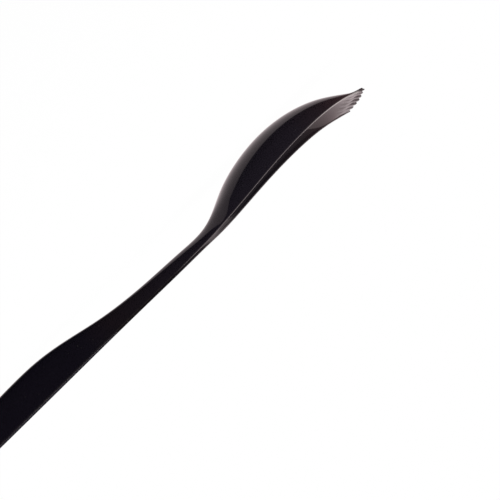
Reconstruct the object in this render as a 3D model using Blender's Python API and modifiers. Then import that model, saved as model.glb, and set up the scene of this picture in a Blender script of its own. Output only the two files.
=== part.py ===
"""Uncapping scoop for honeycomb frames: a toothed, open-fronted scoop on a channel-section handle.

The tool is a plastic moulding (scoop_body) and a strip that snaps into the open channel along the
grip (grip_cover). +X runs from the butt to the teeth, +Z points out of the open side, and the origin
lies on the centre plane at the heel of the scoop, level with the rims of the handle.
"""

import math

import bmesh
import bpy
import numpy as np

MM = 0.001

# Driving dimensions, in millimetres
SCOOP_LENGTH = 107.5  # heel to the tips of the outer teeth
HANDLE_LENGTH = 182.5  # heel back to the butt
SCOOP_WIDTH = 43.0
LIP_WIDTH = 35.3
NECK_WIDTH = 15.2
GRIP_WIDTH = 11.0
SCOOP_DEPTH = 17.0  # rims to belly
NECK_DEPTH = 6.6
GRIP_DEPTH = 17.8
LIP_THICKNESS = 1.2
WALL = 1.5
RIM_CROWN = 0.4  # height of the rounded top of each rim
LIP_CROWN_SHARE = 0.4  # share of it left where the rims run out into the outer teeth
LIP_CROWN_RAMP = 6.0
FIT_GAP = 0.3

# Smooth curves along the tool, each a list of (x, value) through which a spline runs
WIDTH = (
    (-HANDLE_LENGTH, 9.8),
    (-155.0, 10.7),
    (-125.0, GRIP_WIDTH),
    (-95.0, 10.3),
    (-70.0, 9.4),
    (-42.5, 10.9),
    (-15.0, NECK_WIDTH),
    (1.5, 20.5),
    (11.0, 29.2),
    (22.5, 37.4),
    (37.5, 42.0),
    (54.0, SCOOP_WIDTH),
    (80.0, 40.9),
    (SCOOP_LENGTH, LIP_WIDTH),
)
DEPTH = (
    (-HANDLE_LENGTH, 13.6),
    (-157.5, 16.8),
    (-133.0, GRIP_DEPTH),
    (-115.0, 17.5),
    (-100.0, 15.7),
    (-75.0, 10.9),
    (-45.0, 7.7),
    (-17.0, 6.45),
    (1.5, NECK_DEPTH),
    (11.0, 9.2),
    (22.5, 13.3),
    (37.5, 16.25),
    (52.5, SCOOP_DEPTH),
    (67.5, 15.9),
    (80.0, 13.4),
    (94.0, 8.05),
    (101.5, 3.9),
    (SCOOP_LENGTH, LIP_THICKNESS),
)
RIM_HEIGHT = (
    (-HANDLE_LENGTH, 0.0),
    (-60.0, 0.0),
    (-8.0, -0.05),
    (10.0, -0.5),
    (37.5, -2.5),
    (66.0, -4.0),
    (80.0, -3.8),
    (96.5, -1.9),
    (SCOOP_LENGTH, 0.95),
)
# Squareness of the section: 2 is an ellipse, 5 is nearly a box with rounded corners
SQUARENESS = (
    (-HANDLE_LENGTH, 4.5),
    (-87.0, 5.0),
    (-57.5, 3.5),
    (-23.5, 2.2),
    (95.0, 2.1),
    (101.0, 2.8),
    (SCOOP_LENGTH, 4.0),
)

# Thickness of the floor, which swells behind the lip and then runs out to its edge
FLOOR_THICKNESS = (
    (84.0, WALL),
    (96.5, 1.6),
    (102.0, 1.9),
    (SCOOP_LENGTH, LIP_THICKNESS),
)

# Lip and teeth
TOOTH_COUNT = 7
LIP_BULGE = 1.6  # the middle of the lip stands this far ahead of its corners
LIP_CAMBER = 0.35  # and this much higher
LIP_RAMP = 12.0  # length over which bulge and camber grow
GROOVE_LENGTH = 4.8
GROOVE_DEPTH = 1.7
GROOVE_WIDTH = 4.4
GROOVE_OVERRUN = 1.4  # the cutter is this many times longer than the groove
GROOVE_SIDES = 12

# Grip end
BUTT_ROUND = 12.0
BUTT_SHARE = 0.2  # share of the full section left on the flat end face
CAVITY_END = -166.0
CAVITY_ROUND = 5.0
HANGING_HOLE_X = -173.5
HANGING_HOLE_RADIUS = 2.25
HANGING_HOLE_SIDES = 32

# Cover
COVER_START = -165.6
COVER_END = -72.0
COVER_THICKNESS = 1.6
COVER_EDGE = 0.25
COVER_STATIONS = 16  # points along each edge of its outline
CLIP_STATIONS = (-152.0, -118.0, -84.0)
CLIP_LENGTH = 8.0
CLIP_THICKNESS = 1.2
CLIP_BARB_RADIUS = 0.8
CLIP_BARB_Z = -4.4
CLIP_BARB_SIDES = 16
CLIP_LEG_BELOW_BARB = 1.2

# Where sections are cut, from the butt to the lip, and how finely
SCOOP_FROM = -18.0
LIP_FROM = 95.0
SECTION_STEPS = 20
RIM_STEPS = 4
BUTT_STEPS = 7
CAVITY_STEPS = 5
TAIL_STEP = 2.0  # between the butt's round and the end of the channel
HANDLE_STEP = 6.0
SCOOP_STEP = 2.5
LIP_STEP = 1.0

COLLECTION = "uncapping_scoop"
CUTTERS = "cutters"


def spline(points):
    """Natural cubic spline through (x, value) points, as a function of x."""
    xs, ys = np.array(points, float).T
    gaps = np.diff(xs)
    slopes = np.diff(ys) / gaps
    count = len(xs)
    matrix = np.eye(count)
    target = np.zeros(count)
    for i in range(1, count - 1):
        matrix[i, i - 1 : i + 2] = gaps[i - 1], 2 * (gaps[i - 1] + gaps[i]), gaps[i]
        target[i] = 6 * (slopes[i] - slopes[i - 1])
    bend = np.linalg.solve(matrix, target)

    def value(x):
        i = int(np.clip(np.searchsorted(xs, x) - 1, 0, count - 2))
        ahead = (x - xs[i]) / gaps[i]
        back = 1 - ahead
        cubic = bend[i] * (back**3 - back) + bend[i + 1] * (ahead**3 - ahead)
        return back * ys[i] + ahead * ys[i + 1] + cubic * gaps[i] ** 2 / 6

    return value


def straight(points):
    """Straight lines through (x, value) points, as a function of x."""
    xs, ys = np.array(points, float).T
    return lambda x: float(np.interp(x, xs, ys))


width_at = spline(WIDTH)
depth_at = spline(DEPTH)
rim_at = spline(RIM_HEIGHT)
squareness_at = straight(SQUARENESS)
floor_thickness_at = straight(FLOOR_THICKNESS)


def smooth_ramp(t):
    t = min(max(t, 0), 1)
    return t * t * (3 - 2 * t)


def butt_share(x):
    """1 along the tool, falling as a quarter ellipse over the rounded butt."""
    into = (BUTT_ROUND - HANDLE_LENGTH - x) / BUTT_ROUND
    return math.sqrt(1 - (max(into, 0) * math.sqrt(1 - BUTT_SHARE**2)) ** 2)


def cavity_share(x):
    """1 along the channel, falling to 0 where the channel ends in the solid butt."""
    into = (CAVITY_END + CAVITY_ROUND - x) / CAVITY_ROUND
    return math.sqrt(max(1 - max(into, 0) ** 2, 0))


def rim_crown(x):
    """Height of the rims' rounded tops, lower at the lip and over the butt."""
    at_lip = smooth_ramp((x - SCOOP_LENGTH + LIP_CROWN_RAMP) / LIP_CROWN_RAMP)
    return RIM_CROWN * butt_share(x) * (1 - (1 - LIP_CROWN_SHARE) * at_lip)


def lip_warp(x, y, z, half):
    """Pushes the middle of the lip ahead and up."""
    ramp = smooth_ramp((x - SCOOP_LENGTH + LIP_RAMP) / LIP_RAMP)
    middle = ramp * (1 - (y / half) ** 2)
    return (x + LIP_BULGE * middle) * MM, y * MM, (z + LIP_CAMBER * middle) * MM


def bow(half, depth, top, power, steps):
    """Half a superellipse hanging below top, from +half to -half, as (y, z) points."""
    points = []
    for i in range(steps + 1):
        angle = math.pi * i / steps
        side = math.copysign(abs(math.cos(angle)) ** (2 / power), math.cos(angle))
        points.append((half * side, top - depth * math.sin(angle) ** (2 / power)))
    return points


def section(x):
    """Outer bow, inner bow and the two rim crowns of the moulding at x, as (y, z) points."""
    share = butt_share(x)
    power = squareness_at(x)
    half = width_at(x) / 2 * share
    full_depth = depth_at(x)
    depth = full_depth * share
    crown_height = rim_crown(x)
    shoulder = rim_at(x) - crown_height - (full_depth - depth) / 2
    outer = bow(half, depth - crown_height, shoulder, power, SECTION_STEPS)
    floor_depth = (full_depth - floor_thickness_at(x)) * cavity_share(x)
    inner_depth = max(floor_depth - crown_height, 0)
    inner = bow(half - WALL * share, inner_depth, shoulder, power, SECTION_STEPS)
    crown = []
    for i in range(1, RIM_STEPS):
        angle = math.pi * i / RIM_STEPS
        y = half - WALL * share * (1 - math.cos(angle)) / 2
        crown.append((y, shoulder + crown_height * math.sin(angle)))
    return outer, inner, crown


def rounded_steps(start, length, steps):
    """Places along a quarter round: close together where it starts, wider where it runs out."""
    return [start + length * (1 - math.cos(math.pi / 2 * i / steps)) for i in range(steps + 1)]


def even_steps(start, end, step):
    """Even places after start, up to end, about a step apart."""
    return list(np.linspace(start, end, 1 + round((end - start) / step))[1:])


def stations():
    """Where sections are cut: fine at both ends and round the heel, coarser along the handle."""
    butt = -HANDLE_LENGTH
    xs = rounded_steps(butt, BUTT_ROUND, BUTT_STEPS)[:-1]
    xs += list(np.arange(butt + BUTT_ROUND, CAVITY_END, TAIL_STEP))
    xs += rounded_steps(CAVITY_END, CAVITY_ROUND, CAVITY_STEPS)
    xs += even_steps(xs[-1], SCOOP_FROM, HANDLE_STEP)
    xs += even_steps(SCOOP_FROM, LIP_FROM, SCOOP_STEP)
    xs += even_steps(LIP_FROM, SCOOP_LENGTH, LIP_STEP)
    return xs


def loft(bm):
    """Rings of the moulding along X, joined by quads and closed by a quad strip at each end."""
    rings = []
    for x in stations():
        outer, inner, crown = section(x)
        half = outer[0][0]
        near = crown
        far = [(-y, z) for y, z in crown]
        loop = outer + far + inner[::-1] + near[::-1]
        rings.append([bm.verts.new(lip_warp(x, y, z, half)) for y, z in loop])
    count = len(rings[0])
    for back, front in zip(rings, rings[1:]):
        for i in range(count):
            j = (i + 1) % count
            bm.faces.new((back[i], back[j], front[j], front[i]))
    for ring in (rings[0], rings[-1]):
        close_end(bm, ring)


def close_end(bm, ring):
    """Quads between the outer and inner bows, and one face over each rim crown."""
    steps = SECTION_STEPS
    crown = RIM_STEPS - 1
    outer = ring[: steps + 1]
    far = ring[steps + 1 : steps + 1 + crown]
    inner = ring[steps + 1 + crown : 2 * (steps + 1) + crown][::-1]
    near = ring[2 * (steps + 1) + crown :]
    for i in range(steps):
        bm.faces.new((outer[i], outer[i + 1], inner[i + 1], inner[i]))
    bm.faces.new([outer[-1], *far, inner[-1]])
    bm.faces.new([inner[0], *near, outer[0]])


def new_object(name, bm, collection, material=None):
    bmesh.ops.recalc_face_normals(bm, faces=bm.faces)
    mesh = bpy.data.meshes.new(name)
    bm.to_mesh(mesh)
    bm.free()
    obj = bpy.data.objects.new(name, mesh)
    bpy.data.collections[collection].objects.link(obj)
    if material:
        mesh.materials.append(material)
        mesh.shade_smooth()
        mesh.set_sharp_from_angle(angle=math.radians(30))
    else:
        obj.hide_render = True
        obj.display_type = "WIRE"
    return obj


def cut_with(obj, cutter, operation="DIFFERENCE"):
    modifier = obj.modifiers.new(cutter.name, "BOOLEAN")
    modifier.operation = operation
    modifier.solver = "EXACT"
    modifier.object = cutter


def gloss_black():
    material = bpy.data.materials.new("gloss_black_plastic")
    material.use_nodes = True
    shader = material.node_tree.nodes["Principled BSDF"]
    shader.inputs["Base Color"].default_value = (0.010, 0.008, 0.009, 1)
    shader.inputs["Roughness"].default_value = 0.12
    shader.inputs["Metallic"].default_value = 0
    return material


def tooth_groove(index, pitch):
    """A flattened cone lying on the lip's floor, with its point at the back of the groove."""
    y = (index - (TOOTH_COUNT - 2) / 2) * pitch
    middle = 1 - (y / (LIP_WIDTH / 2)) ** 2
    tip_x = SCOOP_LENGTH + LIP_BULGE * middle
    back_x = tip_x - GROOVE_LENGTH
    tip_z = rim_at(SCOOP_LENGTH) + LIP_CAMBER * middle
    floor_fall = rim_at(SCOOP_LENGTH) - rim_at(back_x) + depth_at(back_x) - floor_thickness_at(back_x)
    length = GROOVE_LENGTH * GROOVE_OVERRUN
    bm = bmesh.new()
    bmesh.ops.create_cone(
        bm,
        cap_ends=True,
        segments=GROOVE_SIDES,
        radius1=0,
        radius2=GROOVE_OVERRUN,
        depth=length * MM,
    )
    slope = math.atan2(floor_fall, GROOVE_LENGTH)
    for vertex in bm.verts:
        along = vertex.co.z / MM + length / 2
        across = vertex.co.x * GROOVE_WIDTH / 2
        up = vertex.co.y * GROOVE_DEPTH
        x = back_x + along * math.cos(slope) - up * math.sin(slope)
        z = tip_z - floor_fall + along * math.sin(slope) + up * math.cos(slope)
        vertex.co = (x * MM, (y + across) * MM, z * MM)
    return new_object(f"groove_{index + 1}", bm, CUTTERS)


def rod(name, start, end, radius, collection, segments):
    """A cylinder between two points along one axis, in millimetres."""
    start, end = np.array(start), np.array(end)
    bm = bmesh.new()
    length = float(np.linalg.norm(end - start))
    bmesh.ops.create_cone(
        bm,
        cap_ends=True,
        segments=segments,
        radius1=radius * MM,
        radius2=radius * MM,
        depth=length * MM,
    )
    obj = new_object(name, bm, collection)
    turn_x = math.pi / 2 if abs(end[1] - start[1]) > 0 else 0
    turn_y = math.pi / 2 if abs(end[0] - start[0]) > 0 else 0
    obj.rotation_euler = (turn_x, turn_y, 0)
    obj.location = tuple((start + end) / 2 * MM)
    return obj


def channel_half(x):
    """Half the width of the open channel at x."""
    return width_at(x) / 2 - WALL


def build_body(material):
    bm = bmesh.new()
    loft(bm)
    body = new_object("scoop_body", bm, COLLECTION, material)
    pitch = (LIP_WIDTH - WALL) / (TOOTH_COUNT - 1)
    for index in range(TOOTH_COUNT - 1):
        cut_with(body, tooth_groove(index, pitch))
    hole_z = -depth_at(HANGING_HOLE_X) / 2
    hole = rod(
        "hanging_hole_cutter",
        (HANGING_HOLE_X, -GRIP_WIDTH, hole_z),
        (HANGING_HOLE_X, GRIP_WIDTH, hole_z),
        HANGING_HOLE_RADIUS,
        CUTTERS,
        HANGING_HOLE_SIDES,
    )
    cut_with(body, hole)
    for number, x in enumerate(CLIP_STATIONS, 1):
        for side, word in ((1, "near"), (-1, "far")):
            y = side * (channel_half(x) - FIT_GAP)
            reach = CLIP_LENGTH / 2 + FIT_GAP
            pocket = rod(
                f"pocket_{number}_{word}",
                (x - reach, y, CLIP_BARB_Z),
                (x + reach, y, CLIP_BARB_Z),
                CLIP_BARB_RADIUS + FIT_GAP,
                CUTTERS,
                CLIP_BARB_SIDES,
            )
            cut_with(body, pocket)
    return body


def box(name, low, high):
    low, high = np.array(low) * MM, np.array(high) * MM
    bm = bmesh.new()
    bmesh.ops.create_cube(bm, size=1)
    for vertex in bm.verts:
        vertex.co = tuple((low + high) / 2 + np.array(vertex.co) * (high - low))
    return new_object(name, bm, CUTTERS)


def build_cover(material):
    """A flat strip that fills the channel's mouth, with three pairs of barbed clips under it."""
    xs = np.linspace(COVER_START, COVER_END, COVER_STATIONS)
    side = [(x, channel_half(x) - FIT_GAP) for x in xs]
    outline = side + [(x, -y) for x, y in reversed(side)]
    bm = bmesh.new()
    top = [bm.verts.new((x * MM, y * MM, 0)) for x, y in outline]
    face = bm.faces.new(top)
    strip = bmesh.ops.extrude_face_region(bm, geom=[face])
    for part in strip["geom"]:
        if isinstance(part, bmesh.types.BMVert):
            part.co.z = -COVER_THICKNESS * MM
    cover = new_object("grip_cover", bm, COLLECTION, material)
    edge = cover.modifiers.new("soft_edges", "BEVEL")
    edge.width = COVER_EDGE * MM
    edge.segments = 2
    edge.limit_method = "ANGLE"
    for number, x in enumerate(CLIP_STATIONS, 1):
        for sign, word in ((1, "near"), (-1, "far")):
            face_y = channel_half(x) - FIT_GAP
            ys = sorted((sign * face_y, sign * (face_y - CLIP_THICKNESS)))
            leg = box(
                f"clip_leg_{number}_{word}",
                (x - CLIP_LENGTH / 2, ys[0], CLIP_BARB_Z - CLIP_LEG_BELOW_BARB),
                (x + CLIP_LENGTH / 2, ys[1], -COVER_THICKNESS / 2),
            )
            cut_with(cover, leg, "UNION")
            barb = rod(
                f"clip_barb_{number}_{word}",
                (x - CLIP_LENGTH / 2, sign * face_y, CLIP_BARB_Z),
                (x + CLIP_LENGTH / 2, sign * face_y, CLIP_BARB_Z),
                CLIP_BARB_RADIUS,
                CUTTERS,
                CLIP_BARB_SIDES,
            )
            cut_with(cover, barb, "UNION")
    return cover


def main():
    for obj in list(bpy.data.objects):
        bpy.data.objects.remove(obj)
    for name in (COLLECTION, CUTTERS):
        bpy.context.scene.collection.children.link(bpy.data.collections.new(name))
    material = gloss_black()
    build_body(material)
    build_cover(material)


main()
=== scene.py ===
"""Looks of the uncapping scoop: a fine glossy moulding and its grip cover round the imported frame."""

import math

import bmesh
import bpy
import numpy as np
from mathutils import Matrix, Vector


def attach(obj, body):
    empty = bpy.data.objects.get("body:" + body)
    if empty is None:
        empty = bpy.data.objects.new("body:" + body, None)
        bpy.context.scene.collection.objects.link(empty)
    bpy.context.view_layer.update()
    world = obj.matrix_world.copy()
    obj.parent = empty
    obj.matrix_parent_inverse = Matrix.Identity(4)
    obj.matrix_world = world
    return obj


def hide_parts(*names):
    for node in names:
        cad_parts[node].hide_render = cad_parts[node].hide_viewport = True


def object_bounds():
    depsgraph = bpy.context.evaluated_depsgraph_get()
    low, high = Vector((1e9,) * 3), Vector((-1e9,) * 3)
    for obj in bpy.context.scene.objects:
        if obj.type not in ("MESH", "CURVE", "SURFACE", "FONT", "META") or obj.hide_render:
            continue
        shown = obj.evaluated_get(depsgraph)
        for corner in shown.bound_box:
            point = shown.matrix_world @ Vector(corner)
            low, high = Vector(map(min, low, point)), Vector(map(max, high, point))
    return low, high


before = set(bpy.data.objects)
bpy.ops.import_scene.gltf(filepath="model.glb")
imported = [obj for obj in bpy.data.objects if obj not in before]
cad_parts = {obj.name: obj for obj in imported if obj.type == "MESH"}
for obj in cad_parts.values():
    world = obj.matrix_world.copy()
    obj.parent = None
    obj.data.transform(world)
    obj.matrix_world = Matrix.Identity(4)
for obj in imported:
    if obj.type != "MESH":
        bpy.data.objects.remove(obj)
cad_low, cad_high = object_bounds()

# Driving curves of the moulding, in millimetres from the heel of the scoop: +X to the teeth
SCOOP_LENGTH = 107.5
HANDLE_LENGTH = 182.5
LIP_WIDTH = 35.3
LIP_THICKNESS = 1.2
WALL = 1.5
RIM_CROWN = 0.4
ROUND_CROWN = 0.6  # the rim is rounder than the plain one in the frame
CROWN_DROP = 0.05  # how much lower its round starts
LIP_CROWN_SHARE = 0.7  # share of the crown left where the rims run out into the teeth
LIP_CROWN_RAMP = 18.0
LIP_BULGE = 1.6  # the middle of the lip stands this far ahead of its corners
LIP_CAMBER = 1.0  # and this much higher
LIP_TWIST = 0.75  # the corner on the +Y side stands this much above the other one
LIP_RAMP = 12.0  # length over which bulge, camber and twist grow
WIDTH = (
    (-HANDLE_LENGTH, 9.8),
    (-155.0, 10.7),
    (-125.0, 11.0),
    (-95.0, 10.3),
    (-70.0, 9.4),
    (-42.5, 10.9),
    (-15.0, 15.2),
    (1.5, 20.5),
    (11.0, 29.2),
    (22.5, 37.4),
    (37.5, 42.0),
    (54.0, 43.0),
    (80.0, 40.9),
    (SCOOP_LENGTH, LIP_WIDTH),
)
DEPTH = (
    (-HANDLE_LENGTH, 13.6),
    (-157.5, 16.8),
    (-133.0, 17.8),
    (-115.0, 17.5),
    (-100.0, 15.7),
    (-75.0, 10.9),
    (-45.0, 7.7),
    (-17.0, 6.45),
    (1.5, 6.6),
    (11.0, 9.2),
    (22.5, 13.3),
    (37.5, 16.25),
    (52.5, 17.0),
    (67.5, 15.9),
    (80.0, 13.4),
    (94.0, 8.05),
    (101.5, 3.9),
    (SCOOP_LENGTH, LIP_THICKNESS),
)
RIM_HEIGHT = (
    (-HANDLE_LENGTH, 0.0),
    (-60.0, 0.0),
    (-8.0, -0.05),
    (10.0, -0.5),
    (37.5, -2.5),
    (66.0, -4.0),
    (80.0, -3.8),
    (96.5, -1.9),
    (SCOOP_LENGTH, 0.95),
)
# Squareness of the section: 2 is an ellipse, 5 is nearly a box with rounded corners
SQUARENESS = (
    (-HANDLE_LENGTH, 3.8),
    (-87.0, 3.6),
    (-57.5, 2.9),
    (-23.5, 2.2),
    (95.0, 2.1),
    (SCOOP_LENGTH, 3.0),
)
# How far the section is a shallow arch in place of that curve, 0 to 1
ARCH = (
    (-55.0, 0.0),
    (-30.0, 0.2),
    (-12.0, 0.4),
    (3.0, 1.0),
    (7.0, 0.9),
    (13.0, 0.0),
    (90.0, 0.0),
    (100.0, 0.4),
    (SCOOP_LENGTH, 0.5),
)
# The same for the inside where that is flatter
INNER_ARCH = (
    (88.0, 0.0),
    (93.0, 0.8),
    (96.0, 1.0),
    (101.0, 1.0),
    (104.0, 0.5),
)
# Thickness of the floor, which swells behind the lip and then runs out to its edge
FLOOR_THICKNESS = (
    (84.0, WALL),
    (96.5, 1.6),
    (102.0, 1.9),
    (SCOOP_LENGTH, LIP_THICKNESS),
)
# Length over which each of those four is evened out, either way
SQUARENESS_EASE = 7.0
ARCH_EASE = 3.0
INNER_ARCH_EASE = 2.0
FLOOR_EASE = 2.5

BUTT_ROUND = 12.0
BUTT_SHARE = 0.2  # share of the section left at the very end of the butt
CAVITY_END = -166.0
CAVITY_ROUND = 5.0

# Teeth
TOOTH_COUNT = 7
TOOTH_PITCH = (LIP_WIDTH - WALL) / (TOOTH_COUNT - 1)
GROOVE_LENGTH = 5.5
GROOVE_FLOOR = 0.2  # thickness left where a groove runs out of the lip
GROOVE_RECESS = 1.0  # how far the edge steps back between two teeth
CREST_SHARE = 0.28  # share of half a pitch that is the crest of a tooth
FLANK_SHARE = 0.24  # share of half a pitch that is a groove's steep side
EDGE_RAMP = 8.0  # length over which the edge is stepped and drawn back
NOSE_RADIUS = 0.5
NOSE_STOP = 0.6  # share of a ring by which the round stops short of the very edge
TIP_REACH = 0.35  # how far the noses reach past the nominal length
FINGER_LENGTH = 9.0  # the two corner teeth end the rims as thicker fingers
FINGER_WIDTH = 3.2
FINGER_FADE = 1.6  # width over which a finger comes in
FINGER_DEPTH = 1.4
FINGER_ROUND = 1.0  # width over which its outer corner rounds off

# Hanging hole and clip pockets
HOLE_X = -173.5
HOLE_RADIUS = 2.25
HOLE_FLARE = 0.7
HOLE_SIDES = 48
FLARE_STEPS = 8
CUTTER_REACH = 3.0  # how far the cutter stands out of the grip
MOUTH_CLEARANCE = 0.4  # how much wider than the flare it is out there
CLIP_STATIONS = (-152.0, -118.0, -84.0)
CLIP_LENGTH = 8.0
POCKET_RADIUS = 1.1
POCKET_Z = -4.4
POCKET_SIDES = 24
FIT_GAP = 0.3

# The cover's edges are softened where they turn by more than this angle, in degrees
COVER_EDGE = 0.12
COVER_EDGE_SEGMENTS = 2
COVER_EDGE_ANGLE = 35.0

# Where the moulding is worn
RIM_WEAR_DEPTH = 0.8
RIM_WEAR_WIDTH = 1.7
TIP_WEAR_FROM = 1.2
TIP_WEAR_RAMP = 2.0

# Mesh density
EASE_SAMPLES = 41
BOW_SAMPLES = 1600
BOW_POINTS = 192
CROWN_POINTS = 9
NOSE_RINGS = 4
TURN_SECTIONS = 17
BUTT_STEP = 1.0
HANDLE_STEP = 3.0
SCOOP_FROM = -19.0
SCOOP_STEP = 1.25
LIP_SPAN = 11.5
LIP_SECTIONS = 40
SECTION_GAP = 0.5  # least gap where two runs of sections meet
SHARP_ANGLE = 40.0  # degrees; an edge that turns more is shaded sharp

# Colour of the black plastic along the tool, with painted light in it: it grows lighter and warmer from
# the grip to the lip, standing in for the soft light and reflections there
PLASTIC_TINTS_AND_PAINTED_LIGHT = (
    (-0.105, (0.0030, 0.0023, 0.0046)),
    (-0.088, (0.0035, 0.0027, 0.0050)),
    (-0.070, (0.0060, 0.0038, 0.0048)),
    (-0.050, (0.0064, 0.0045, 0.0058)),
    (-0.010, (0.0075, 0.0055, 0.0090)),
    (0.035, (0.0092, 0.0073, 0.0108)),
    (0.062, (0.0112, 0.0084, 0.0120)),
    (0.080, (0.0150, 0.0095, 0.0120)),
    (0.090, (0.0235, 0.0130, 0.0150)),
    (0.100, (0.0380, 0.0200, 0.0220)),
    (0.103, (0.0450, 0.0290, 0.0310)),
    (0.108, (0.0500, 0.0360, 0.0380)),
)
FLOW_SHIFT = 0.02  # how far the flow of the melt moves those colours along the tool

# Noise patterns of the plastic: scale, detail and stretch
FLOW = (26.0, 3.0, (0.35, 1.0, 1.0))
SPECKS = (1500.0, 0.0)
RUBBING = (420.0, 4.0)
SCRATCHES = (900.0, 1.0, (0.03, 1.0, 1.0))
HAZE = (55.0, 4.0)
WAVES = (90.0, 1.0)
PEEL = (1100.0, 2.0)

# Where a pattern starts and where it is full
SPECK_RANGE = (0.82, 0.86)
RUBBING_RANGE = (0.35, 0.7)
SCRATCH_RANGE = (0.68, 0.74)

# Painted highlight: the +Y rim beside the lip is painted pale in place of a reflection. Where it fades
# in and out along the tool and across it, in metres, and how close to the top of the rim it has to lie
PAINTED_RIM_HIGHLIGHT_START = (0.060, 0.096)
PAINTED_RIM_HIGHLIGHT_END = (0.1065, 0.1035)
PAINTED_RIM_HIGHLIGHT_SIDE = (0.010, 0.014)
PAINTED_RIM_HIGHLIGHT_RIM_TOP = (0.55, 0.95)

# Colours of dust, of rubbed plastic and of the painted rim highlight, and how much of the first two
# shows
SPECK_COLOUR = (0.05, 0.045, 0.042, 1)
SPECK_SHARE = 0.35
RUBBED_COLOUR = (0.022, 0.018, 0.018, 1)
RUBBED_SHARE = 0.5
PAINTED_RIM_HIGHLIGHT_COLOUR = (0.36, 0.32, 0.312, 1)

# Roughness of the two mouldings, and what haze, scratches and rubbing add to it
SCOOP_ROUGHNESS = 0.07
COVER_ROUGHNESS = 0.10
HAZE_ROUGHNESS = 0.05
SCRATCH_ROUGHNESS = 0.10
RUBBED_ROUGHNESS = 0.12

# Relief of the surface, in metres
WAVE_HEIGHT = 0.00004
PEEL_HEIGHT = 0.0000008
SCRATCH_DEPTH = 0.000001
RELIEF_STRENGTH = 0.6

# How the plastic mirrors, and where along the handle its worn rims turn satin, in metres
PLASTIC_IOR = 1.5
MIRROR_LEVEL = 0.5
SATIN_RANGE = (-0.005, -0.030)

# Where the camera stands, in degrees, and what it points at, in millimetres
VIEW_AZIMUTH = 202.13
VIEW_ELEVATION = 5.44
VIEW_ROLL = 133.3
VIEW_AIM = (9.5, 0.0, 17.32)
VIEW_WIDTH = 250.0  # of the tool's own millimetres across the picture
LENS = 1600.0  # so long that the view is nearly parallel
CLIP_RANGE = (0.5, 2.0)  # nearest and farthest that the camera sees, as shares of its distance

# Colours of the light tent: the dark room ahead of and behind the camera, the glow left and right of
# it, and the even soft light
ROOM_AHEAD = (0.02, 0.02, 0.03, 1)
ROOM_BEHIND = (0.06, 0.05, 0.075, 1)
ROOM_RANGE = (0.2, -1.0)  # how far forward a direction points where one fades into the other
GLOW_LEFT = (0.46, 0.395, 0.415, 1)
GLOW_RIGHT = (1.50, 1.30, 1.32, 1)
GLOW_TILT = -0.15  # the glow falls off upward by this share
SOFT_LIGHT = (0.9, 0.9, 0.9, 1)
WHITE = (1, 1, 1, 1)

# Dark parts of the light tent. Each is the overlap of cones: a direction from the camera (right, up,
# forward) and where the cone's edge fades in, as cosines of the angle from that direction. The last
# number is how much of the light the part takes away
GAPS = (
    ((((0.24, 0.775, -0.585), 0.29, 0.36), ((-0.95, 0.2, -0.2), -0.3, -0.15)), 1.0),
    ((((0.773, 0.193, -0.604), 0.805, 0.845),), 0.83),
    ((((0.1345, -0.1255, 0.983), 0.986, 0.9955),), 1.0),
)

# Floor and lamp, in metres
FLOOR_HALF = 8.0
FLOOR_DROP = 0.0002  # how far it lies under the tool
FLOOR_GRAIN = (40.0, 3.0)
FLOOR_SHADES = ((0.90, 0.90, 0.90, 1), (0.93, 0.93, 0.93, 1))
GRAZING = (0.09, 0.22)  # the floor fades to white between these, as sines of the angle of view
LAMP_SIZE = 1.2
LAMP_POWER = 6.0  # watts
LAMP_PLACE = (0.2, -0.3, 1.4)

UNIT = 0.001  # metres in one millimetre of the design


# ---- curves ------------------------------------------------------------------------------------


def spline(points, x):
    """Natural cubic spline through (x, value) points, at each of the given x."""
    xs, ys = np.array(points, float).T
    gaps = np.diff(xs)
    slopes = np.diff(ys) / gaps
    count = len(xs)
    matrix = np.eye(count)
    target = np.zeros(count)
    for i in range(1, count - 1):
        matrix[i, i - 1 : i + 2] = gaps[i - 1], 2 * (gaps[i - 1] + gaps[i]), gaps[i]
        target[i] = 6 * (slopes[i] - slopes[i - 1])
    bend = np.linalg.solve(matrix, target)
    i = np.clip(np.searchsorted(xs, x) - 1, 0, count - 2)
    ahead = (x - xs[i]) / gaps[i]
    back = 1 - ahead
    cubic = bend[i] * (back**3 - back) + bend[i + 1] * (ahead**3 - ahead)
    return back * ys[i] + ahead * ys[i + 1] + cubic * gaps[i] ** 2 / 6


def eased(points, x, window):
    """Straight lines through (x, value) points, averaged over a window so that they have no corner."""
    xs, ys = np.array(points, float).T
    offsets = np.linspace(-window, window, EASE_SAMPLES)
    return np.interp(x[:, None] + offsets, xs, ys).mean(axis=1)


def smooth_ramp(t):
    t = np.clip(t, 0, 1)
    return t * t * (3 - 2 * t)


def lip_ramp(x, length):
    """Grows from 0 to 1 over a length that ends at the tips of the teeth."""
    return smooth_ramp((x - SCOOP_LENGTH + length) / length)


def butt_share(x):
    """Share of the full section left where the butt rounds off."""
    into = np.maximum((BUTT_ROUND - HANDLE_LENGTH - x) / BUTT_ROUND, 0)
    return np.sqrt(1 - into**2 * (1 - BUTT_SHARE**2))


def cavity_share(x):
    """Share of the channel's depth left where its end rounds up."""
    into = np.maximum((CAVITY_END + CAVITY_ROUND - x) / CAVITY_ROUND, 0)
    return np.sqrt(np.maximum(1 - into**2, 0))


def rim_crown(x):
    """Height of the rounded top of the rims."""
    return RIM_CROWN * butt_share(x) * (1 - (1 - LIP_CROWN_SHARE) * lip_ramp(x, LIP_CROWN_RAMP))


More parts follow.
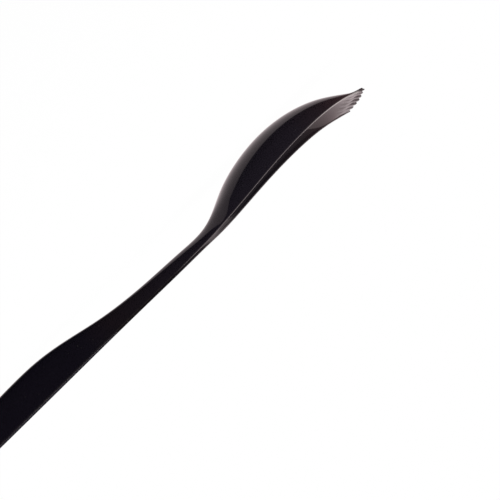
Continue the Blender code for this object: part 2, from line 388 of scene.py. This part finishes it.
def stations():
    """Where sections are cut, closer where the form turns quickly."""
    butt = -HANDLE_LENGTH
    handle = CAVITY_END + CAVITY_ROUND + HANDLE_STEP / 2
    lip = SCOOP_LENGTH - LIP_SPAN
    turn = 1 - np.cos(np.linspace(0, math.pi / 2, TURN_SECTIONS))
    parts = (
        butt + BUTT_ROUND * turn,
        np.arange(butt + BUTT_ROUND + BUTT_STEP, CAVITY_END, BUTT_STEP),
        CAVITY_END + CAVITY_ROUND * turn,
        np.arange(handle, SCOOP_FROM - 2 * SECTION_GAP, HANDLE_STEP),
        np.arange(SCOOP_FROM, lip - SECTION_GAP, SCOOP_STEP),
        np.linspace(lip, SCOOP_LENGTH, LIP_SECTIONS),
    )
    return np.concatenate(parts)


def bow(half, depth, top, power, arch):
    """A bow hanging below top, from +half to -half, evenly spaced along its length.

    It is half a superellipse, or a shallow arch, or part way between the two.
    """
    angle = np.linspace(0, math.pi, BOW_SAMPLES)
    cosine = np.cos(angle)
    across = np.sign(cosine) * np.abs(cosine) ** (2 / power)
    drop = (1 - arch) * np.abs(np.sin(angle)) ** (2 / power) + arch * (1 - across**2)
    y = half * across
    z = top - depth * drop
    run = np.concatenate([[0], np.cumsum(np.hypot(np.diff(y), np.diff(z)))])
    even = np.linspace(0, run[-1], BOW_POINTS)
    return np.stack([np.interp(even, run, y), np.interp(even, run, z)], axis=1)


# ---- the moulding ------------------------------------------------------------------------------


def sections(xs):
    """Each ring's outer bow, inner bow and near crown, as arrays of (y, z)."""
    share = butt_share(xs)
    power = eased(SQUARENESS, xs, SQUARENESS_EASE)
    arch = eased(ARCH, xs, ARCH_EASE)
    inner_arch = np.maximum(arch, eased(INNER_ARCH, xs, INNER_ARCH_EASE))
    half = spline(WIDTH, xs) / 2 * share
    full_depth = spline(DEPTH, xs)
    crown = rim_crown(xs)
    lowered = full_depth * (1 - share) / 2
    shoulder = spline(RIM_HEIGHT, xs) - crown - lowered - CROWN_DROP * crown / RIM_CROWN
    floor = (full_depth - eased(FLOOR_THICKNESS, xs, FLOOR_EASE)) * cavity_share(xs)
    inner_depth = np.maximum(floor - crown, 0)
    rings = []
    for i in range(len(xs)):
        wall = WALL * share[i]
        outer = bow(half[i], full_depth[i] * share[i] - crown[i], shoulder[i], power[i], arch[i])
        inner = bow(half[i] - wall, inner_depth[i], shoulder[i], power[i], inner_arch[i])
        angle = np.linspace(0, math.pi, CROWN_POINTS + 2)[1:-1]
        crown_y = half[i] - wall * (1 - np.cos(angle)) / 2
        crown_z = shoulder[i] + crown[i] * ROUND_CROWN / RIM_CROWN * np.sin(angle)
        rings.append((outer, inner, np.stack([crown_y, crown_z], axis=1)))
    return rings


def valley(y):
    """0 on the crest of a tooth, 1 in the bottom of the groove beside it."""
    from_crest = np.abs(y - TOOTH_PITCH * np.round(y / TOOTH_PITCH)) / (TOOTH_PITCH / 2)
    return smooth_ramp((from_crest - CREST_SHARE) / FLANK_SHARE)


def ring_points(x, ring):
    """One ring as (x, y, z) points with the grooves, the fingers and the shape of the lip."""
    outer, inner, crown = ring
    half = outer[0, 0]
    thickness = inner[:, 1] - outer[:, 1]
    groove = lip_ramp(x, GROOVE_LENGTH)
    cut = np.maximum(thickness - GROOVE_FLOOR, 0) * valley(inner[:, 0]) * groove
    inner = np.stack([inner[:, 0], inner[:, 1] - cut], axis=1)
    off_centre = np.abs(outer[:, 0])
    finger = lip_ramp(x, FINGER_LENGTH)
    finger = finger * smooth_ramp((off_centre - half + FINGER_WIDTH) / FINGER_FADE)
    finger_depth = FINGER_DEPTH * smooth_ramp((half - off_centre) / FINGER_ROUND)
    under = np.minimum(outer[:, 1], outer[0, 1] - finger_depth)
    outer = np.stack([outer[:, 0], outer[:, 1] + (under - outer[:, 1]) * finger], axis=1)
    loop = np.concatenate([outer, crown * (-1, 1), inner[::-1], crown[::-1]])
    left = thickness - cut
    flat = np.zeros(len(crown))
    radius = np.concatenate([left, flat, left[::-1], flat]) / 2
    lifted = lip_ramp(x, LIP_RAMP)
    across = loop[:, 0] / half
    middle = lifted * (1 - across**2)
    recess = GROOVE_RECESS * valley(loop[:, 0])
    back = lip_ramp(x, EDGE_RAMP) * (recess + np.minimum(radius, NOSE_RADIUS) - TIP_REACH)
    points = np.empty((len(loop), 3))
    points[:, 0] = x + LIP_BULGE * middle - back
    points[:, 1] = loop[:, 0]
    points[:, 2] = loop[:, 1] + LIP_CAMBER * middle + LIP_TWIST * lifted * (1 + across) / 2
    return points


def partner(count):
    """For each point of a ring, the point facing it across the wall."""
    index = np.arange(count)
    crown = CROWN_POINTS
    outer = slice(0, BOW_POINTS)
    inner = slice(BOW_POINTS + crown, 2 * BOW_POINTS + crown)
    index[outer] = np.arange(inner.stop - 1, inner.start - 1, -1)
    index[inner] = np.arange(BOW_POINTS - 1, -1, -1)
    index[BOW_POINTS : BOW_POINTS + crown] = np.arange(BOW_POINTS + crown - 1, BOW_POINTS - 1, -1)
    index[inner.stop :] = np.arange(count - 1, inner.stop - 1, -1)
    return index


def nose(ring):
    """Rings that round the lip's edge off, each closer to the middle of the wall."""
    facing = ring[partner(len(ring))]
    middle = (ring + facing) / 2
    radius = np.linalg.norm(ring - facing, axis=1)[:, None] / 2
    radius = np.minimum(radius, NOSE_RADIUS)
    rings = []
    for i in range(1, NOSE_RINGS + 1):
        angle = math.pi / 2 * i / (NOSE_RINGS + NOSE_STOP)
        step = middle + (ring - middle) * math.cos(angle)
        step[:, 0:1] += radius * math.sin(angle)
        rings.append(step)
    return rings


def close_end(faces, start, flip):
    """Quads across the wall between the outer and inner bows, and one face over each crown."""
    crown = CROWN_POINTS
    outer = np.arange(BOW_POINTS) + start
    far = np.arange(BOW_POINTS, BOW_POINTS + crown) + start
    inner = (np.arange(BOW_POINTS + crown, 2 * BOW_POINTS + crown) + start)[::-1]
    near = np.arange(2 * BOW_POINTS + crown, 2 * BOW_POINTS + 2 * crown) + start
    made = [(outer[i], outer[i + 1], inner[i + 1], inner[i]) for i in range(BOW_POINTS - 1)]
    made.append((outer[-1], *far, inner[-1]))
    made.append((inner[0], *near, outer[0]))
    for face in made:
        faces.append([int(i) for i in (face[::-1] if flip else face)])


def moulding_mesh():
    xs = stations()
    rings = [ring_points(x, ring) for x, ring in zip(xs, sections(xs))]
    rings += nose(rings[-1])
    count = len(rings[0])
    points = np.concatenate(rings) * UNIT
    faces = []
    for ring in range(len(rings) - 1):
        for i in range(count):
            j = (i + 1) % count
            here, ahead = ring * count, (ring + 1) * count
            faces.append([here + i, ahead + i, ahead + j, here + j])
    close_end(faces, 0, False)
    close_end(faces, (len(rings) - 1) * count, True)
    mesh = bpy.data.meshes.new("scoop_moulding")
    mesh.from_pydata([tuple(p) for p in points], [], faces)
    bm = bmesh.new()
    bm.from_mesh(mesh)
    bmesh.ops.recalc_face_normals(bm, faces=bm.faces)
    bm.to_mesh(mesh)
    bm.free()
    mark_wear_and_highlight(mesh)
    return mesh


def mark_wear_and_highlight(mesh):
    """A value for each point: 1 on the tops of the rims and the tips of the teeth, 0 on open faces. It
    places the wear and the painted rim highlight.
    """
    points = np.empty(len(mesh.vertices) * 3, np.float32)
    mesh.vertices.foreach_get("co", points)
    x, y, z = points.reshape(-1, 3).T / UNIT
    on_tool = np.clip(x, -HANDLE_LENGTH, SCOOP_LENGTH)
    below_rim = np.clip((spline(RIM_HEIGHT, on_tool) - z) / RIM_WEAR_DEPTH, 0, 1)
    near_wall = np.abs(y) > spline(WIDTH, on_tool) / 2 - RIM_WEAR_WIDTH
    rims = (1 - below_rim) * near_wall
    tips = smooth_ramp((x - SCOOP_LENGTH + TIP_WEAR_FROM) / TIP_WEAR_RAMP)
    wear_and_highlight = mesh.attributes.new("wear_and_highlight", "FLOAT", "POINT")
    wear_and_highlight.data.foreach_set("value", np.maximum(rims, tips).astype(np.float32))


# ---- objects -----------------------------------------------------------------------------------


def link(name, mesh):
    obj = bpy.data.objects.new(name, mesh)
    bpy.context.scene.collection.objects.link(obj)
    return obj


def revolve(name, profile, segments):
    """A closed solid turned about Y from (y, radius) points in millimetres."""
    bm = bmesh.new()
    rings = []
    for y, radius in profile:
        ring = []
        for i in range(segments):
            angle = 2 * math.pi * i / segments
            ring.append(bm.verts.new((radius * math.cos(angle), y, radius * math.sin(angle))))
        rings.append(ring)
    for low, high in zip(rings, rings[1:]):
        for i in range(segments):
            j = (i + 1) % segments
            bm.faces.new((low[i], low[j], high[j], high[i]))
    bm.faces.new(rings[0])
    bm.faces.new(rings[-1])
    bmesh.ops.recalc_face_normals(bm, faces=bm.faces)
    mesh = bpy.data.meshes.new(name)
    bm.to_mesh(mesh)
    bm.free()
    return link(name, mesh)


def hole_cutter():
    """A pin whose ends flare, so that the hole's mouths are rounded where they meet the grip's sides."""
    half = float(spline(WIDTH, np.array([HOLE_X]))[0]) / 2
    mouth = HOLE_RADIUS + HOLE_FLARE + MOUTH_CLEARANCE
    profile = [(-half - CUTTER_REACH, mouth)]
    for side in (-1, 1):
        for i in range(FLARE_STEPS + 1):
            angle = math.pi / 2 * (i if side > 0 else FLARE_STEPS - i) / FLARE_STEPS
            radius = HOLE_RADIUS + HOLE_FLARE * (1 - math.cos(angle))
            profile.append((side * (half - HOLE_FLARE + HOLE_FLARE * math.sin(angle)), radius))
    profile.append((half + CUTTER_REACH, mouth))
    cutter = revolve("hole_cutter", profile, HOLE_SIDES)
    depth = float(spline(DEPTH, np.array([HOLE_X]))[0])
    cutter.data.transform(Matrix.Translation((HOLE_X, 0, -depth / 2)))
    cutter.data.transform(Matrix.Scale(UNIT, 4))
    return cutter


def pocket_cutter(x, side):
    """A round pocket along the channel's wall, for one clip of the cover."""
    inner = float(spline(WIDTH, np.array([x]))[0]) / 2 - WALL
    reach = CLIP_LENGTH / 2 + FIT_GAP
    profile = [(-reach, POCKET_RADIUS), (reach, POCKET_RADIUS)]
    pocket = revolve("pocket_cutter", profile, POCKET_SIDES)
    pocket.data.transform(Matrix.Rotation(math.pi / 2, 4, "Z"))
    pocket.data.transform(Matrix.Translation((x, side * (inner - FIT_GAP), POCKET_Z)))
    pocket.data.transform(Matrix.Scale(UNIT, 4))
    return pocket


def cut(obj, cutter):
    """Adds a Boolean that takes the cutter out of the object."""
    modifier = obj.modifiers.new("cut", "BOOLEAN")
    modifier.operation = "DIFFERENCE"
    modifier.solver = "EXACT"
    modifier.object = cutter


def settle(obj, cutters):
    """Applies the object's modifiers and removes the cutters."""
    graph = bpy.context.evaluated_depsgraph_get()
    mesh = bpy.data.meshes.new_from_object(obj.evaluated_get(graph))
    obj.modifiers.clear()
    obj.data = mesh
    for cutter in cutters:
        bpy.data.objects.remove(cutter)


def build_moulding():
    """The whole moulding with its hanging hole and the pockets for the cover's clips."""
    body = link("scoop_moulding", moulding_mesh())
    cutters = [hole_cutter()]
    for x in CLIP_STATIONS:
        cutters += [pocket_cutter(x, 1), pocket_cutter(x, -1)]
    for cutter in cutters:
        cut(body, cutter)
    settle(body, cutters)
    body.data.shade_smooth()
    body.data.set_sharp_from_angle(angle=math.radians(SHARP_ANGLE))
    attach(body, "root")
    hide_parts("scoop_body")
    return body


# ---- materials ---------------------------------------------------------------------------------


class Nodes:
    """Short calls for building a node tree."""

    def __init__(self, tree):
        self.tree = tree
        self.tree.nodes.clear()

    def add(self, kind, inputs=None, **settings):
        node = self.tree.nodes.new(kind)
        for name, value in settings.items():
            setattr(node, name, value)
        for name, value in (inputs or {}).items():
            self.feed(node.inputs[name], value)
        return node

    def feed(self, socket, value):
        if isinstance(value, bpy.types.NodeSocket):
            self.tree.links.new(value, socket)
        else:
            socket.default_value = value

    def math(self, operation, *values, clamp=False):
        node = self.add("ShaderNodeMath", operation=operation, use_clamp=clamp)
        for socket, value in zip(node.inputs, values):
            self.feed(socket, value)
        return node.outputs[0]

    def dot(self, a, b):
        return self.add("ShaderNodeVectorMath", {0: a, 1: b}, operation="DOT_PRODUCT").outputs["Value"]

    def mix(self, share, a, b):
        node = self.add("ShaderNodeMix", data_type="RGBA")
        self.feed(node.inputs["Factor"], share)
        self.feed(node.inputs["A"], a)
        self.feed(node.inputs["B"], b)
        return node.outputs["Result"]

    def blend(self, share, a, b):
        """A shader part way between two others."""
        return self.add("ShaderNodeMixShader", {0: share, 1: a.outputs[0], 2: b.outputs[0]})

    def ramp(self, value, low, high, to_low=0.0, to_high=1.0):
        """A smooth step from one value at low to another at high, which may be the smaller."""
        node = self.add("ShaderNodeMapRange", {"Value": value}, interpolation_type="SMOOTHSTEP")
        self.feed(node.inputs["From Min"], low)
        self.feed(node.inputs["From Max"], high)
        self.feed(node.inputs["To Min"], to_low)
        self.feed(node.inputs["To Max"], to_high)
        return node.outputs["Result"]

    def stops(self, value, stops):
        """A colour picked from (place, colour) stops, the places in metres."""
        start, end = stops[0][0], stops[-1][0]
        share = self.add("ShaderNodeMapRange", {"Value": value})
        self.feed(share.inputs["From Min"], start)
        self.feed(share.inputs["From Max"], end)
        ramp = self.add("ShaderNodeValToRGB", {"Fac": share.outputs["Result"]})
        elements = ramp.color_ramp.elements
        while len(elements) < len(stops):
            elements.new(0.5)
        for element, (place, colour) in zip(elements, stops):
            element.position = (place - start) / (end - start)
        for element, (place, colour) in zip(elements, stops):
            element.color = (*colour, 1)
        return ramp.outputs["Color"]

    def noise(self, place, scale, detail=2.0, stretch=None):
        if stretch:
            place = self.add("ShaderNodeMapping", {"Vector": place, "Scale": stretch}).outputs["Vector"]
        node = self.add("ShaderNodeTexNoise", {"Vector": place, "Scale": scale, "Detail": detail})
        return node.outputs["Fac"]


def gloss_black(name, roughness):
    """Black injection-moulded plastic: flow marks, faint waves, hair scratches, dust, worn edges, and
    painted light: a colour painted lighter towards the lip and a painted highlight on one rim.
    """
    material = bpy.data.materials.new(name)
    material.use_nodes = True
    n = Nodes(material.node_tree)
    place = n.add("ShaderNodeTexCoord").outputs["Object"]
    wear_and_highlight = n.add("ShaderNodeAttribute", attribute_name="wear_and_highlight").outputs["Fac"]
    where = n.add("ShaderNodeSeparateXYZ", {0: place}).outputs
    along = where["X"]

    # The plastic's colour, with painted light that makes it lighter towards the lip, and dust in it
    flow = n.noise(place, *FLOW)
    shift = n.math("MULTIPLY", n.math("SUBTRACT", flow, 0.5), FLOW_SHIFT)
    tint = n.stops(n.math("ADD", along, shift), PLASTIC_TINTS_AND_PAINTED_LIGHT)
    speck = n.ramp(n.noise(place, *SPECKS), *SPECK_RANGE)
    tint = n.mix(n.math("MULTIPLY", speck, SPECK_SHARE), tint, SPECK_COLOUR)

    # Rubbed rims and tips, and a painted highlight: the +Y rim painted pale beside the lip in place of a
    # reflection
    rubbed = n.math("MULTIPLY", wear_and_highlight, n.ramp(n.noise(place, *RUBBING), *RUBBING_RANGE))
    colour = n.mix(n.math("MULTIPLY", rubbed, RUBBED_SHARE), tint, RUBBED_COLOUR)
    painted_rim_highlight = n.math("MULTIPLY", n.ramp(along, *PAINTED_RIM_HIGHLIGHT_START), n.ramp(along, *PAINTED_RIM_HIGHLIGHT_END))
    painted_rim_highlight = n.math("MULTIPLY", painted_rim_highlight, n.ramp(where["Y"], *PAINTED_RIM_HIGHLIGHT_SIDE))
    painted_rim_highlight = n.math("MULTIPLY", painted_rim_highlight, n.ramp(wear_and_highlight, *PAINTED_RIM_HIGHLIGHT_RIM_TOP))
    colour = n.mix(painted_rim_highlight, colour, PAINTED_RIM_HIGHLIGHT_COLOUR)

    # Polish
    scratch = n.ramp(n.noise(place, *SCRATCHES), *SCRATCH_RANGE)
    haze = n.noise(place, *HAZE)
    rough = n.math("ADD", roughness, n.math("MULTIPLY", haze, HAZE_ROUGHNESS))
    rough = n.math("ADD", rough, n.math("MULTIPLY", scratch, SCRATCH_ROUGHNESS))
    rough = n.math("ADD", rough, n.math("MULTIPLY", rubbed, RUBBED_ROUGHNESS))

    # Relief, which wear takes away
    waves = n.math("MULTIPLY", n.noise(place, *WAVES), WAVE_HEIGHT)
    peel = n.math("MULTIPLY", n.noise(place, *PEEL), PEEL_HEIGHT)
    height = n.math("ADD", waves, peel)
    height = n.math("SUBTRACT", height, n.math("MULTIPLY", scratch, SCRATCH_DEPTH))
    height = n.math("MULTIPLY", height, n.math("SUBTRACT", 1.0, wear_and_highlight))
    bump = n.add("ShaderNodeBump", {"Height": height, "Strength": RELIEF_STRENGTH, "Distance": 1.0})

    # The worn rims of the handle lose their mirror
    satin = n.math("MULTIPLY", wear_and_highlight, n.ramp(along, *SATIN_RANGE))
    sheen = n.math("MULTIPLY_ADD", satin, -MIRROR_LEVEL, MIRROR_LEVEL)
    look = {
        "Base Color": colour,
        "Roughness": rough,
        "IOR": PLASTIC_IOR,
        "Specular IOR Level": sheen,
        "Normal": bump.outputs["Normal"],
    }
    shader = n.add("ShaderNodeBsdfPrincipled", look)
    out = n.add("ShaderNodeOutputMaterial")
    n.feed(out.inputs["Surface"], shader.outputs["BSDF"])
    return material


def finish_cover(material):
    """The cover's CAD shape is right, so it keeps its mesh and takes a finish and softer edges."""
    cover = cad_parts["grip_cover"]
    cover.data.materials.clear()
    cover.data.materials.append(material)
    edge = cover.modifiers.new("soft_edges", "BEVEL")
    edge.width = COVER_EDGE * UNIT
    edge.segments = COVER_EDGE_SEGMENTS
    edge.limit_method = "ANGLE"
    edge.angle_limit = math.radians(COVER_EDGE_ANGLE)


# ---- studio ------------------------------------------------------------------------------------


def studio_world():
    """A pale light tent with dark parts, most of them on the camera's side of the object.

    The camera sees plain white. Mirror reflections see the tent, which turns with the camera, and
    soft light comes evenly from everywhere.
    """
    world = bpy.data.worlds.new("light_tent")
    bpy.context.scene.world = world
    world.use_nodes = True
    world.cycles.sampling_method = "NONE"
    n = Nodes(world.node_tree)
    seen = n.add("ShaderNodeTexCoord").outputs["Camera"]
    unit = n.add("ShaderNodeVectorMath", {0: seen}, operation="NORMALIZE").outputs[0]
    axis = n.add("ShaderNodeSeparateXYZ", {0: unit}).outputs
    room = n.mix(n.ramp(axis["Z"], *ROOM_RANGE), ROOM_AHEAD, ROOM_BEHIND)
    sideways = n.math("MULTIPLY_ADD", axis["X"], 0.5, 0.5)
    sideways = n.math("MULTIPLY_ADD", axis["Y"], GLOW_TILT, sideways, clamp=True)
    mirrored = n.mix(sideways, GLOW_LEFT, GLOW_RIGHT)
    for cones, share in GAPS:
        for direction, low, high in cones:
            share = n.math("MULTIPLY", n.ramp(n.dot(unit, direction), low, high), share)
        mirrored = n.mix(share, mirrored, room)
    path = n.add("ShaderNodeLightPath").outputs
    soft = n.mix(path["Is Glossy Ray"], SOFT_LIGHT, mirrored)
    colour = n.mix(path["Is Camera Ray"], soft, WHITE)
    background = n.add("ShaderNodeBackground", {"Color": colour, "Strength": 1.0})
    out = n.add("ShaderNodeOutputWorld")
    n.feed(out.inputs["Surface"], background.outputs["Background"])


def floor_material():
    """Pale floor that fades to pure white at grazing angles and can be looked through from below."""
    material = bpy.data.materials.new("pale_floor")
    material.use_nodes = True
    n = Nodes(material.node_tree)
    place = n.add("ShaderNodeTexCoord").outputs["Object"]
    grain = n.mix(n.noise(place, *FLOOR_GRAIN), *FLOOR_SHADES)
    diffuse = n.add("ShaderNodeBsdfDiffuse", {"Color": grain})
    white = n.add("ShaderNodeEmission", {"Color": WHITE, "Strength": 1.0})
    geometry = n.add("ShaderNodeNewGeometry").outputs
    grazing = n.ramp(n.dot(geometry["Incoming"], (0, 0, 1)), *GRAZING, 1.0, 0.0)
    top = n.blend(grazing, diffuse, white)
    both = n.blend(geometry["Backfacing"], top, n.add("ShaderNodeBsdfTransparent"))
    out = n.add("ShaderNodeOutputMaterial")
    n.feed(out.inputs["Surface"], both.outputs[0])
    return material


def build_floor():
    """A flat floor just under the tool, left out of its mirror reflections."""
    bm = bmesh.new()
    bmesh.ops.create_grid(bm, x_segments=1, y_segments=1, size=FLOOR_HALF)
    mesh = bpy.data.meshes.new("floor")
    bm.to_mesh(mesh)
    bm.free()
    floor = link("floor", mesh)
    floor.location = (0, 0, cad_low.z - FLOOR_DROP)
    floor.visible_glossy = False
    mesh.materials.append(floor_material())


def build_light():
    """One broad soft lamp overhead, for a faint shadow on the floor."""
    data = bpy.data.lights.new("soft_lamp", "AREA")
    data.shape = "DISK"
    data.size = LAMP_SIZE
    data.energy = LAMP_POWER
    lamp = link("soft_lamp", data)
    lamp.location = LAMP_PLACE
    lamp.rotation_euler = (Vector((0, 0, 0)) - lamp.location).to_track_quat("-Z", "Y").to_euler()
    lamp.visible_glossy = False


def build_camera():
    """A long lens, low over the tool and rolled so that the handle comes in from the lower left."""
    azimuth, elevation = math.radians(VIEW_AZIMUTH), math.radians(VIEW_ELEVATION)
    back = Vector(
        (
            math.sin(azimuth) * math.cos(elevation),
            -math.cos(azimuth) * math.cos(elevation),
            math.sin(elevation),
        )
    )
    level = Vector((0, 0, 1)).cross(back).normalized()
    upright = back.cross(level)
    roll = math.radians(VIEW_ROLL)
    right = level * math.cos(roll) + upright * math.sin(roll)
    up = back.cross(right)
    data = bpy.data.cameras.new("camera")
    data.lens = LENS
    distance = VIEW_WIDTH * UNIT * LENS / data.sensor_width
    data.clip_start, data.clip_end = (distance * share for share in CLIP_RANGE)
    camera = link("camera", data)
    turn = Matrix((right, up, back)).transposed().to_4x4()
    camera.matrix_world = Matrix.Translation(Vector(VIEW_AIM) * UNIT + back * distance) @ turn
    bpy.context.scene.camera = camera


def main():
    body = build_moulding()
    body.data.materials.clear()
    body.data.materials.append(gloss_black("scoop_plastic", SCOOP_ROUGHNESS))
    finish_cover(gloss_black("cover_plastic", COVER_ROUGHNESS))
    studio_world()
    build_floor()
    build_light()
    build_camera()
    bpy.context.scene.view_settings.view_transform = "Standard"


main()
